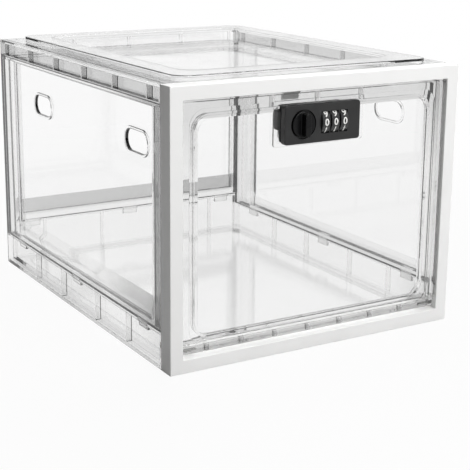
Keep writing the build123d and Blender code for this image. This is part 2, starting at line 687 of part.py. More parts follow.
with BuildPart() as case_screws:
    for x, z in case_screw_places:
        round_bar(x, z, case_screw_radius, (screw_tip, plate_rear))
        countersink(x, z, Mode.ADD)
    for x, z in case_screw_places:
        for width, height in ((2.4, 0.5), (0.5, 2.4)):
            x_span = (x - width / 2, x + width / 2)
            z_span = (z - height / 2, z + height / 2)
            block(x_span, (plate_rear - 0.6, plate_rear), z_span, Mode.SUBTRACT)
save(case_screws, "case_screws")

with BuildPart() as mount_screws:
    head_rear = flange_rear + mount_screw_head_height
    for side in (-1, 1):
        x = side * mount_screw_x
        round_bar(x, mount_screw_z, mount_screw_radius, (lock_front + window_wall + 1.5, flange_rear))
        round_bar(x, mount_screw_z, mount_screw_head, (flange_rear, head_rear))
    fillet(mount_screws.faces().sort_by(Axis.Y)[-2:].edges(), 0.5)
    for side in (-1, 1):
        x = side * mount_screw_x
        for width, height in ((2.6, 0.6), (0.6, 2.6)):
            x_span = (x - width / 2, x + width / 2)
            z_span = (mount_screw_z - height / 2, mount_screw_z + height / 2)
            block(x_span, (head_rear - 0.8, head_rear), z_span, Mode.SUBTRACT)
save(mount_screws, "mount_screws")

# Number wheels on their axle
for place, name in zip(wheel_places, ("wheel_left", "wheel_middle", "wheel_right")):
    with BuildPart() as wheel:
        axis = Plane(origin=(place, behind(wheel_behind), lock_z), x_dir=(0, -1, 0), z_dir=(1, 0, 0))
        with Locations(axis):
            Cylinder(wheel_radius, wheel_width)
        chamfer(wheel.edges().filter_by(GeomType.CIRCLE), 0.4)
        with BuildSketch(axis.offset(-wheel_width / 2)) as grooves:
            start = 180 / digit_count
            with PolarLocations(wheel_radius + groove_radius - groove_sink, digit_count, start_angle=start):
                Circle(groove_radius)
            Circle(axle_radius + running_gap)
        extrude(grooves.sketch, amount=wheel_width, mode=Mode.SUBTRACT)
    save(wheel, name)

with BuildPart() as wheel_axle:
    with Locations(Plane(origin=(wheels_x, behind(wheel_behind), lock_z), z_dir=(1, 0, 0))):
        Cylinder(axle_radius, chamber_x[1] - chamber_x[0] + 2 * case_wall)
save(wheel_axle, "wheel_axle")

# Detent spring: a leaf with one finger for each wheel, flat against the back plate
leaf_thickness = 0.3
with BuildPart() as detent_spring:
    leaf_y = (chamber_rear - leaf_thickness, chamber_rear)
    block((chamber_x[0] + 0.5, chamber_x[1] - 0.5), leaf_y, (lock_z - 9, lock_z + 4))
    for place in wheel_places[:-1]:
        slit_x = (place + wheel_pitch / 2 - 1, place + wheel_pitch / 2 + 1)
        block(slit_x, leaf_y, (lock_z - 6, lock_z + 4), Mode.SUBTRACT)
    for place in wheel_places:
        bump_y = (wheel_behind + wheel_radius + fit_gap, chamber_rear - leaf_thickness)
        block((place - 1.5, place + 1.5), bump_y, (lock_z - 0.8, lock_z + 0.8))
save(detent_spring, "detent_spring")

# Locking bar in the chamber's lower rear corner, with one finger for each wheel
bar_size = 2.0
bar_travel = 1.5
bar_rear = chamber_rear - leaf_thickness - 0.5
with BuildPart() as locking_bar:
    bar_low = chamber_z[0] + fit_gap
    bar_x = (chamber_x[0] + fit_gap, chamber_x[1] - fit_gap - bar_travel)
    block(bar_x, (bar_rear - bar_size, bar_rear), (bar_low, bar_low + bar_size))
    for place in wheel_places:
        finger_x = (place - 1.5, place)
        block(finger_x, (bar_rear - bar_size - 1.2, bar_rear - bar_size), (bar_low, bar_low + 1.0))
save(locking_bar, "locking_bar")

# Knob with its grip upright, the spindle that it turns, and the cam at the back
stem_rear = panel_rear - fit_gap
disc_front = knob_disc_front
disc_rear = recess_floor - fit_gap
with BuildPart() as knob:
    round_bar(knob_x, lock_z, knob_radius, (disc_front, disc_rear))
    fillet(knob.faces().sort_by(Axis.Y)[0].edges(), 0.8)
    grip_x = (knob_x - knob_grip_width / 2, knob_x + knob_grip_width / 2)
    grip_z = (lock_z - knob_grip_height / 2, lock_z + knob_grip_height / 2)
    rounded_block(grip_x, grip_z, knob_grip_width / 2 - 0.1, (-knob_proud, disc_front + 0.9))
    fillet(knob.faces().sort_by(Axis.Y)[0].edges(), 0.9)
    round_bar(knob_x, lock_z, knob_stem_radius, (disc_rear, stem_rear))
    round_bar(knob_x, lock_z, spindle_radius, (disc_front + 1.5, stem_rear), Mode.SUBTRACT)
save(knob, "knob")

with BuildPart() as spindle:
    round_bar(knob_x, lock_z, spindle_radius, (disc_front + 1.5, cam_front))
    square_x = (knob_x - spindle_square / 2, knob_x + spindle_square / 2)
    square_z = (lock_z - spindle_square / 2, lock_z + spindle_square / 2)
    block(square_x, (cam_front, cam_rear), square_z)
    bore = (cam_rear + washer_thickness - cam_screw_length, cam_rear)
    round_bar(knob_x, lock_z, cam_screw_radius, bore, Mode.SUBTRACT)
save(spindle, "spindle")

with BuildPart() as cam:
    round_bar(knob_x, lock_z, cam_hub_radius, (cam_front, cam_rear))
    cam_x = (knob_x, knob_x + cam_reach)
    cam_z = (lock_z - cam_width / 2, lock_z + cam_width / 2)
    rounded_block(cam_x, cam_z, cam_width / 4, (cam_front, cam_rear))
    block(square_x, (cam_front, cam_rear), square_z, Mode.SUBTRACT)
save(cam, "cam")

with BuildPart() as cam_washer:
    round_bar(knob_x, lock_z, washer_radius, (cam_rear, cam_rear + washer_thickness))
    round_bar(knob_x, lock_z, cam_screw_radius, (cam_rear, cam_rear + washer_thickness), Mode.SUBTRACT)
save(cam_washer, "cam_washer")

with BuildPart() as cam_screw:
    head_front = cam_rear + washer_thickness
    head_rear = head_front + cam_screw_head_height
    round_bar(knob_x, lock_z, cam_screw_radius, (head_front - cam_screw_length, head_front))
    round_bar(knob_x, lock_z, cam_screw_head, (head_front, head_rear))
    fillet(cam_screw.faces().sort_by(Axis.Y)[-1].edges(), 0.6)
    for width, height in ((3.4, 0.8), (0.8, 3.4)):
        x_span = (knob_x - width / 2, knob_x + width / 2)
        z_span = (lock_z - height / 2, lock_z + height / 2)
        block(x_span, (head_rear - 0.9, head_rear), z_span, Mode.SUBTRACT)
save(cam_screw, "cam_screw")
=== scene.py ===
import bpy
import bmesh
from math import cos, pi, radians, sin
from mathutils import Matrix, Vector
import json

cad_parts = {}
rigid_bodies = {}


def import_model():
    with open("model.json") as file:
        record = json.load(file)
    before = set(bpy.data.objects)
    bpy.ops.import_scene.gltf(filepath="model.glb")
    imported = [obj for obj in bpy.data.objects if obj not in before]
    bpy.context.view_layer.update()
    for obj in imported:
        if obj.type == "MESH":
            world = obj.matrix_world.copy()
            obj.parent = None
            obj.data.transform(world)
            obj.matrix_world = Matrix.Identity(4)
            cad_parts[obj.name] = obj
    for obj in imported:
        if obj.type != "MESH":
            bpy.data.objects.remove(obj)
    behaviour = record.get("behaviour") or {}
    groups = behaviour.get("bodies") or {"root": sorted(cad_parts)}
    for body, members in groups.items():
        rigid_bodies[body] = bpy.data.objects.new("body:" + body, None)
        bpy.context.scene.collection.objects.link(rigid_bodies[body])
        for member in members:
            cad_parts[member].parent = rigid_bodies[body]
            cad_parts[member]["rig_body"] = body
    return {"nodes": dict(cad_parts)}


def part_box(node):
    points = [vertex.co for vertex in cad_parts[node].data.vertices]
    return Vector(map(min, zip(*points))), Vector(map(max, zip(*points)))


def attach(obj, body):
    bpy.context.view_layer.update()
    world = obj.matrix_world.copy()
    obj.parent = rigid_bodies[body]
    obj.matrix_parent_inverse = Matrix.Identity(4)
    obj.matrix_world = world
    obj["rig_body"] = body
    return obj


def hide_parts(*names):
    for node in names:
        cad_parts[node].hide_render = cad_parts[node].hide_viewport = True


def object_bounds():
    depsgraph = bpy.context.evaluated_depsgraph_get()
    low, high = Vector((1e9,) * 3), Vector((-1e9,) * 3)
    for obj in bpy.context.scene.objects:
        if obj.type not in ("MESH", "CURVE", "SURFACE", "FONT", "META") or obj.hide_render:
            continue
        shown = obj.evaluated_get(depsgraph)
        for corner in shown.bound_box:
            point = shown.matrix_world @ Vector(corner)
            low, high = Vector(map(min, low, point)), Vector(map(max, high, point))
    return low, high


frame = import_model()
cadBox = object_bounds()
nodes = frame["nodes"]
mm = 0.001
print("frame loaded")


# Node helpers

def addNode(tree, kind, **settings):
    node = tree.nodes.new(kind)
    for name, value in settings.items():
        setattr(node, name, value)
    return node


def mathNode(tree, operation, a, b=None, clamp=False):
    node = addNode(tree, "ShaderNodeMath", operation=operation, use_clamp=clamp)
    for socket, value in zip(node.inputs, (a, b)):
        if isinstance(value, bpy.types.NodeSocket):
            tree.links.new(value, socket)
        elif value is not None:
            socket.default_value = value
    return node.outputs[0]


def mixColours(tree, factor, a, b):
    node = addNode(tree, "ShaderNodeMix", data_type="RGBA")
    for socket, value in ((node.inputs[0], factor), (node.inputs[6], a), (node.inputs[7], b)):
        if isinstance(value, bpy.types.NodeSocket):
            tree.links.new(value, socket)
        else:
            socket.default_value = value
    return node.outputs[2]


def mapRange(tree, value, low, high, toLow, toHigh, smooth=False):
    node = addNode(tree, "ShaderNodeMapRange")
    if smooth:
        node.interpolation_type = "SMOOTHSTEP"
    tree.links.new(value, node.inputs["Value"])
    for name, number in (("From Min", low), ("From Max", high), ("To Min", toLow), ("To Max", toHigh)):
        node.inputs[name].default_value = number
    return node.outputs["Result"]


def newGroup(name, inputs, outputs):
    group = bpy.data.node_groups.new(name, "ShaderNodeTree")
    for label, kind, value in inputs:
        socket = group.interface.new_socket(label, in_out="INPUT", socket_type=kind)
        if value is not None:
            socket.default_value = value
    for label, kind in outputs:
        group.interface.new_socket(label, in_out="OUTPUT", socket_type=kind)
    return group, group.nodes.new("NodeGroupInput").outputs, group.nodes.new("NodeGroupOutput").inputs


# Where noise and slope turn into masks, as lowest and highest values
maskEdges = {
    "wave": (0.35, 0.65),
    "dust": (0.4, 0.75),
    "level": (0.6, 1.0),   # how far a face looks up before dust lies on it
}


# Mould finish: slow waviness of a moulded wall and a fine grain on top of it

def makeMouldFinish():
    inputs = (
        ("Coordinates", "NodeSocketVector", None),
        ("Wave Size", "NodeSocketFloat", 40.0),
        ("Grain Size", "NodeSocketFloat", 900.0),
        ("Grain Share", "NodeSocketFloat", 0.3),
    )
    outputs = (("Height", "NodeSocketFloat"), ("Mask", "NodeSocketFloat"))
    group, given, result = newGroup("mouldFinish", inputs, outputs)
    wave = addNode(group, "ShaderNodeTexNoise")
    wave.inputs["Detail"].default_value = 2.0
    grain = addNode(group, "ShaderNodeTexNoise")
    grain.inputs["Detail"].default_value = 1.0
    for texture, scale in ((wave, "Wave Size"), (grain, "Grain Size")):
        group.links.new(given["Coordinates"], texture.inputs["Vector"])
        group.links.new(given[scale], texture.inputs["Scale"])
    fine = mathNode(group, "MULTIPLY", grain.outputs["Fac"], given["Grain Share"])
    group.links.new(mathNode(group, "ADD", wave.outputs["Fac"], fine), result["Height"])
    mask = mapRange(group, wave.outputs["Fac"], *maskEdges["wave"], 0.0, 1.0, True)
    group.links.new(mask, result["Mask"])
    return group


# Settled dust: only on faces that look up, in soft patches

def makeDust():
    inputs = (
        ("Coordinates", "NodeSocketVector", None),
        ("Patch Size", "NodeSocketFloat", 25.0),
        ("Amount", "NodeSocketFloat", 0.3),
    )
    outputs = (("Mask", "NodeSocketFloat"), ("Up", "NodeSocketFloat"))
    group, given, result = newGroup("settledDust", inputs, outputs)
    patches = addNode(group, "ShaderNodeTexNoise")
    patches.inputs["Detail"].default_value = 4.0
    group.links.new(given["Coordinates"], patches.inputs["Vector"])
    group.links.new(given["Patch Size"], patches.inputs["Scale"])
    geometry = addNode(group, "ShaderNodeNewGeometry")
    split = addNode(group, "ShaderNodeSeparateXYZ")
    group.links.new(geometry.outputs["Normal"], split.inputs[0])
    up = mapRange(group, split.outputs["Z"], *maskEdges["level"], 0.0, 1.0)
    soft = mapRange(group, patches.outputs["Fac"], *maskEdges["dust"], 0.0, 1.0, True)
    mask = mathNode(group, "MULTIPLY", mathNode(group, "MULTIPLY", up, soft), given["Amount"])
    group.links.new(mask, result["Mask"])
    group.links.new(up, result["Up"])
    return group


# Border zone: everything outside a box, for the greyer textured plastic round the clear windows, whose grey
#  is partly painted shade

def makeBorderZone():
    inputs = (
        ("Coordinates", "NodeSocketVector", None),
        ("Middle", "NodeSocketVector", None),
        ("Half Size", "NodeSocketVector", None),
        ("Blend", "NodeSocketFloat", 0.0004),
    )
    group, given, result = newGroup("borderZone", inputs, (("Mask", "NodeSocketFloat"),))
    offset = addNode(group, "ShaderNodeVectorMath", operation="SUBTRACT")
    group.links.new(given["Coordinates"], offset.inputs[0])
    group.links.new(given["Middle"], offset.inputs[1])
    distance = addNode(group, "ShaderNodeVectorMath", operation="ABSOLUTE")
    group.links.new(offset.outputs["Vector"], distance.inputs[0])
    beyond = addNode(group, "ShaderNodeVectorMath", operation="SUBTRACT")
    group.links.new(distance.outputs["Vector"], beyond.inputs[0])
    group.links.new(given["Half Size"], beyond.inputs[1])
    split = addNode(group, "ShaderNodeSeparateXYZ")
    group.links.new(beyond.outputs["Vector"], split.inputs[0])
    furthest = mathNode(group, "MAXIMUM", split.outputs["X"], split.outputs["Y"])
    furthest = mathNode(group, "MAXIMUM", furthest, split.outputs["Z"])
    group.links.new(mathNode(group, "DIVIDE", furthest, given["Blend"], clamp=True), result["Mask"])
    return group


mouldFinish = makeMouldFinish()
settledDust = makeDust()
borderZone = makeBorderZone()


def startMaterial(name, values):
    material = bpy.data.materials.new(name)
    material.use_nodes = True
    tree = material.node_tree
    shader = tree.nodes["Principled BSDF"]
    for label, value in values.items():
        shader.inputs[label].default_value = value
    coordinates = addNode(tree, "ShaderNodeTexCoord").outputs["Object"]
    return material, tree, shader, coordinates


def useGroup(tree, group, coordinates, **values):
    node = addNode(tree, "ShaderNodeGroup", node_tree=group)
    tree.links.new(coordinates, node.inputs["Coordinates"])
    for label, value in values.items():
        node.inputs[label.replace("_", " ")].default_value = value
    return node


def addBump(tree, shader, height, strength, distance):
    bump = addNode(tree, "ShaderNodeBump")
    bump.inputs["Strength"].default_value = strength
    bump.inputs["Distance"].default_value = distance
    tree.links.new(height, bump.inputs["Height"])
    tree.links.new(bump.outputs["Normal"], shader.inputs["Normal"])


# Clear moulded plastic. Lamps shine through it, so what is inside isn't in its shadow.

clearValues = {
    "tint": (0.985, 0.985, 0.985, 1.0),
    "dustTint": (0.95, 0.95, 0.945, 1.0),
    "ior": 1.5,
    "roughness": 0.01,
    "hazeRoughness": 0.03,
    "hazeFacing": (0.45, 0.8),   # slant at which a level window starts to look hazy, and at which it is full
    "dust": 0.25,
    "dustPatch": 30.0,
    "waveSize": 18.0,
    "grainSize": 300.0,
    "grainShare": 0.02,
    "waveStrength": 0.05,
    "waveHeight": 1.0 * mm,
    "shadowTint": (0.95, 0.95, 0.95, 1.0),
    "inside": (0.5, 0.5, 0.498, 1.0),   # thick walls and edges look darker than thin windows
}

# Each clear piece: its window as low and high corners in mm, and the look of the border round it, whose grey
#  fades from the first to the second along one axis (1 is Y, 2 is Z), between two places in mm. That grey is
#  partly the border's textured plastic and partly painted shade, darker where the frame and its top bar
#  shade the piece
borderValues = {
    # painted shade: the tray's border is darker towards the front, by the frame
    "base_tray": {
        "low": (-132, -153, 1), "high": (132, 176, 12),
        "axis": 1, "fade": (-160, -100), "greysAndPaintedShade": (0.74, 0.93),
        "roughness": 0.04, "haze": 0.14, "density": 22.0,
    },
    # painted shade: the left panel's border is darker towards the front, by the frame
    "left_panel": {
        "low": (-150, -148, 56.5), "high": (-130, 147, 211),
        "axis": 1, "fade": (-149, -60), "greysAndPaintedShade": (0.42, 0.93),
        "roughness": 0.03, "haze": 0.0, "density": 14.0,
    },
    # the right panel's border is darker below 36 mm
    "right_panel": {
        "low": (130, -148, 46), "high": (150, 147, 211),
        "axis": 2, "fade": (36, 40), "greysAndPaintedShade": (0.78, 0.88),
        "roughness": 0.03, "haze": 0.0, "density": 14.0,
    },
    # the back panel's border is darker from 52 mm up to its window
    "back_panel": {
        "low": (-150, 170, 66), "high": (150, 190, 240),
        "axis": 2, "fade": (48, 52), "greysAndPaintedShade": (0.92, 0.5),
        "roughness": 0.05, "haze": 0.0, "density": 12.0,
    },
    # painted shade: the lid's skirt is darker than the top of its rim
    "lid": {
        "low": (-132.5, -160, 200), "high": (132.5, 200, 240),
        "axis": 2, "fade": (226.4, 227.4), "greysAndPaintedShade": (0.56, 1.0),
        "roughness": 0.04, "haze": 0.06, "density": 5.0,
    },
    # painted shade: the door's border is darker towards the top, under the frame's top bar
    "door": {
        "low": (-112, -180, 28), "high": (112, -150, 202),
        "axis": 2, "fade": (140, 204), "greysAndPaintedShade": (0.97, 0.74),
        "roughness": 0.02, "haze": 0.0, "density": 30.0,
    },
}


def makeClearPlastic(name, values, border):
    material, tree, shader, coordinates = startMaterial(
        name, {"IOR": values["ior"], "Transmission Weight": 1.0, "Metallic": 0.0}
    )
    finish = useGroup(
        tree, mouldFinish, coordinates,
        Wave_Size=values["waveSize"], Grain_Size=values["grainSize"], Grain_Share=values["grainShare"],
    )
    dust = useGroup(
        tree, settledDust, coordinates, Patch_Size=values["dustPatch"], Amount=values["dust"]
    )
    low, high = Vector(border["low"]) * mm, Vector(border["high"]) * mm
    zone = useGroup(tree, borderZone, coordinates, Middle=(low + high) / 2, Half_Size=(high - low) / 2)
    split = addNode(tree, "ShaderNodeSeparateXYZ")
    tree.links.new(coordinates, split.inputs[0])
    start, end = border["fade"]
    along = mapRange(tree, split.outputs[border["axis"]], start * mm, end * mm, 0.0, 1.0)
    first, second = border["greysAndPaintedShade"]
    # Partly painted shade: the border grey darkens along the fade axis, towards the frame and its top bar
    greysAndPaintedShade = mixColours(
        tree, along, (first, first, first * 0.998, 1.0), (second, second, second * 0.998, 1.0)
    )
    # Painted shade: the border grey goes only on faces that don't look up, so tops stay lighter than sides
    upright = mathNode(tree, "SUBTRACT", 1.0, dust.outputs["Up"])
    mattAndPaintedShade = mathNode(tree, "MULTIPLY", zone.outputs["Mask"], upright)
    body = mixColours(tree, mattAndPaintedShade, values["tint"], greysAndPaintedShade)
    body = mixColours(tree, dust.outputs["Mask"], body, values["dustTint"])
    tree.links.new(body, shader.inputs["Base Color"])
    haze = mathNode(tree, "MAXIMUM", finish.outputs["Mask"], dust.outputs["Mask"])
    smooth = mapRange(tree, haze, 0.0, 1.0, values["roughness"], values["hazeRoughness"])
    textured = mathNode(tree, "MULTIPLY", zone.outputs["Mask"], border["roughness"])
    # Dust on a level window hides more of what is behind it the flatter it is seen
    slant = addNode(tree, "ShaderNodeLayerWeight").outputs["Facing"]
    flat = mapRange(tree, slant, *values["hazeFacing"], 0.0, border["haze"])
    flat = mathNode(tree, "MULTIPLY", flat, dust.outputs["Up"])
    textured = mathNode(tree, "MAXIMUM", textured, flat)
    tree.links.new(mathNode(tree, "MAXIMUM", smooth, textured), shader.inputs["Roughness"])
    addBump(tree, shader, finish.outputs["Height"], values["waveStrength"], values["waveHeight"])
    through = addNode(tree, "ShaderNodeBsdfTransparent")
    through.inputs["Color"].default_value = values["shadowTint"]
    choose = addNode(tree, "ShaderNodeMixShader")
    tree.links.new(addNode(tree, "ShaderNodeLightPath").outputs["Is Shadow Ray"], choose.inputs["Fac"])
    tree.links.new(shader.outputs["BSDF"], choose.inputs[1])
    tree.links.new(through.outputs["BSDF"], choose.inputs[2])
    tree.links.new(choose.outputs["Shader"], tree.nodes["Material Output"].inputs["Surface"])
    inside = addNode(tree, "ShaderNodeVolumeAbsorption")
    inside.inputs["Color"].default_value = values["inside"]
    inside.inputs["Density"].default_value = border["density"]
    tree.links.new(inside.outputs["Volume"], tree.nodes["Material Output"].inputs["Volume"])
    return material


# Opaque plastics: the white frame, the black lock and its knob, the wheels and their digits

plasticValues = {
    "whitePlastic": {
        "colour": (0.86, 0.86, 0.855, 1), "shade": (0.84, 0.84, 0.835, 1), "roughness": (0.34, 0.42),
        "level": 0.5, "wave": 20.0, "grain": 1400.0, "bump": 0.12,
        "dust": 0.12, "dustColour": (0.78, 0.77, 0.75, 1),
    },
    "blackPlastic": {
        "colour": (0.009, 0.009, 0.0095, 1), "shade": (0.013, 0.013, 0.013, 1), "roughness": (0.3, 0.4),
        "level": 0.4, "wave": 60.0, "grain": 2600.0, "bump": 0.3,
        "dust": 0.1, "dustColour": (0.1, 0.1, 0.1, 1),
    },
    "knobPlastic": {
        "colour": (0.005, 0.005, 0.0055, 1), "shade": (0.008, 0.008, 0.008, 1), "roughness": (0.26, 0.34),
        "level": 0.14, "wave": 60.0, "grain": 2600.0, "bump": 0.3,
        "dust": 0.1, "dustColour": (0.1, 0.1, 0.1, 1),
    },
    "wheelPlastic": {
        "colour": (0.016, 0.016, 0.017, 1), "shade": (0.024, 0.024, 0.024, 1), "roughness": (0.26, 0.34),
        "level": 0.5, "wave": 90.0, "grain": 2600.0, "bump": 0.2,
        "dust": 0.1, "dustColour": (0.12, 0.12, 0.12, 1),
    },
    "digitPaint": {
        "colour": (0.82, 0.82, 0.8, 1), "shade": (0.7, 0.7, 0.68, 1), "roughness": (0.5, 0.6),
        "level": 0.5, "wave": 400.0, "grain": 4000.0, "bump": 0.3,
        "dust": 0.0, "dustColour": (0.7, 0.7, 0.7, 1),
    },
}
plasticFinish = {"grainShare": 0.6, "dustPatch": 60.0, "bumpHeight": 0.1 * mm}


def makePlastic(name, values, common):
    material, tree, shader, coordinates = startMaterial(
        name, {"IOR": 1.5, "Specular IOR Level": values["level"]}
    )
    finish = useGroup(
        tree, mouldFinish, coordinates,
        Wave_Size=values["wave"], Grain_Size=values["grain"], Grain_Share=common["grainShare"],
    )
    dust = useGroup(
        tree, settledDust, coordinates, Patch_Size=common["dustPatch"], Amount=values["dust"]
    )
    body = mixColours(tree, finish.outputs["Mask"], values["colour"], values["shade"])
    body = mixColours(tree, dust.outputs["Mask"], body, values["dustColour"])
    tree.links.new(body, shader.inputs["Base Color"])
    uneven = mapRange(tree, finish.outputs["Mask"], 0.0, 1.0, *values["roughness"])
    tree.links.new(uneven, shader.inputs["Roughness"])
    addBump(tree, shader, finish.outputs["Height"], values["bump"], common["bumpHeight"])
    return material


# Steels: brush makes the grain finer along one axis, so it runs across that axis
steelValues = {
    "zincSteel": {"colour": (0.6, 0.6, 0.59, 1), "roughness": (0.22, 0.34), "brush": (1.0, 1.0, 8.0)},
    "springSteel": {"colour": (0.5, 0.5, 0.5, 1), "roughness": (0.2, 0.3), "brush": (1.0, 8.0, 1.0)},
}
steelFinish = {
    "waveSize": 120.0,
    "grainSize": 900.0,
    "grainShare": 0.5,
    "darker": 0.8,       # share of the colour that the dull patches keep
    "bump": 0.15,
    "bumpHeight": 0.05 * mm,
}


def makeSteel(name, values, common):
    material, tree, shader, coordinates = startMaterial(name, {"Metallic": 1.0})
    stretch = addNode(tree, "ShaderNodeMapping")
    stretch.inputs["Scale"].default_value = values["brush"]
    tree.links.new(coordinates, stretch.inputs["Vector"])
    finish = useGroup(
        tree, mouldFinish, stretch.outputs["Vector"],
        Wave_Size=common["waveSize"], Grain_Size=common["grainSize"], Grain_Share=common["grainShare"],
    )
    darker = tuple(c * common["darker"] for c in values["colour"][:3]) + (1.0,)
    body = mixColours(tree, finish.outputs["Mask"], values["colour"], darker)
    tree.links.new(body, shader.inputs["Base Color"])
    uneven = mapRange(tree, finish.outputs["Mask"], 0.0, 1.0, *values["roughness"])
    tree.links.new(uneven, shader.inputs["Roughness"])
    addBump(tree, shader, finish.outputs["Height"], common["bump"], common["bumpHeight"])
    return material


clearPieces = {
    name: makeClearPlastic(name + "Plastic", clearValues, border) for name, border in borderValues.items()
}
plastics = {name: makePlastic(name, values, plasticFinish) for name, values in plasticValues.items()}
steels = {name: makeSteel(name, values, steelFinish) for name, values in steelValues.items()}
print("materials made")


# Moulded pieces get softly rounded edges, on a merged copy of their CAD node

edgeValues = {
    "front_frame": {"radius": 0.25, "segments": 2},
    "base_tray": {"radius": 0.4, "segments": 3},
    "left_panel": {"radius": 0.4, "segments": 3},
    "right_panel": {"radius": 0.4, "segments": 3},
    "back_panel": {"radius": 0.4, "segments": 3},
    "lid": {"radius": 0.4, "segments": 3},
    "door": {"radius": 0.25, "segments": 2},
    "lock_face": {"radius": 0.3, "segments": 2},
    "lock_case": {"radius": 0.3, "segments": 2},
    "knob": {"radius": 0.45, "segments": 3},
}
edgeLimits = {
    "merge": 0.002 * mm,
    "flat": 0.3,    # degrees, below which neighbouring triangles become one face
    "sharp": 35,    # degrees, above which an edge is rounded
}
slots = {name: "clear_plastic" for name in borderValues}
slots["front_frame"] = "white_plastic"
slots.update({name: "black_plastic" for name in ("lock_face", "lock_case", "knob")})
moulded = {}


def softenEdges(name, values):
    mesh = nodes[name].data.copy()
    mesh.name = name + "Moulded"
    build = bmesh.new()
    build.from_mesh(mesh)
    bmesh.ops.remove_doubles(build, verts=build.verts, dist=edgeLimits["merge"])
    bmesh.ops.dissolve_limit(
        build, angle_limit=radians(edgeLimits["flat"]), verts=build.verts, edges=build.edges
    )
    for face in build.faces:
        face.smooth = True
    build.to_mesh(mesh)
    build.free()
    piece = bpy.data.objects.new(mesh.name, mesh)
    bpy.context.scene.collection.objects.link(piece)
    bevel = piece.modifiers.new("softEdges", "BEVEL")
    bevel.width = values["radius"] * mm
    bevel.segments = values["segments"]
    bevel.limit_method = "ANGLE"
    bevel.angle_limit = radians(edgeLimits["sharp"])
    bevel.use_clamp_overlap = True
    weighted = piece.modifiers.new("flatFaces", "WEIGHTED_NORMAL")
    weighted.keep_sharp = True
    weighted.weight = 100
    evaluated = piece.evaluated_get(bpy.context.evaluated_depsgraph_get())
    finished = bpy.data.meshes.new_from_object(evaluated)
    piece.modifiers.clear()
    piece.data = finished
    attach(piece, nodes[name]["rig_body"])
    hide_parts(name)
    moulded[name] = piece
    print("  ", name, len(mesh.polygons), "->", len(finished.polygons), "faces")


for name, values in edgeValues.items():
    softenEdges(name, values)
print("moulded edges rounded")


# CAD nodes take their finishes

finishes = {
    **{material: [name] for name, material in clearPieces.items()},
    plastics["whitePlastic"]: ["front_frame"],
    plastics["blackPlastic"]: ["lock_face", "lock_case"],
    plastics["knobPlastic"]: ["knob"],
    plastics["wheelPlastic"]: ["wheel_left", "wheel_middle", "wheel_right"],
    steels["zincSteel"]: [
        "hinge_pin_left", "hinge_pin_right", "lock_back_plate", "case_screws", "mount_screws", "spindle",
        "cam", "cam_washer", "cam_screw",
    ],
    steels["springSteel"]: ["wheel_axle", "detent_spring", "locking_bar"],
}
for material, names in finishes.items():
    for name in names:
        mesh = moulded.get(name, nodes[name]).data
        mesh.materials.clear()
        mesh.materials.append(material)
print("CAD nodes finished")


# Number wheels: raised digits, laid round each wheel by Geometry Nodes

digitValues = {
    "count": 10,
    "size": 7.8 * mm,       # of the letters' body, digits are 0.7 of it
    "boldness": 0.22 * mm,
    "relief": 0.08 * mm,
    "sunk": 0.06 * mm,      # foot of each digit, below the wheel's skin
    "fineness": 2,          # times that the flat digits are divided before they are bent
    "merge": 0.001 * mm,
}


def geometryNode(tree, kind, links=None, **settings):
    node = addNode(tree, kind, **settings)
    for label, value in (links or {}).items():
        socket = node.inputs[label]
        if isinstance(value, bpy.types.NodeSocket):
            tree.links.new(value, socket)
        else:
            socket.default_value = value
    return node


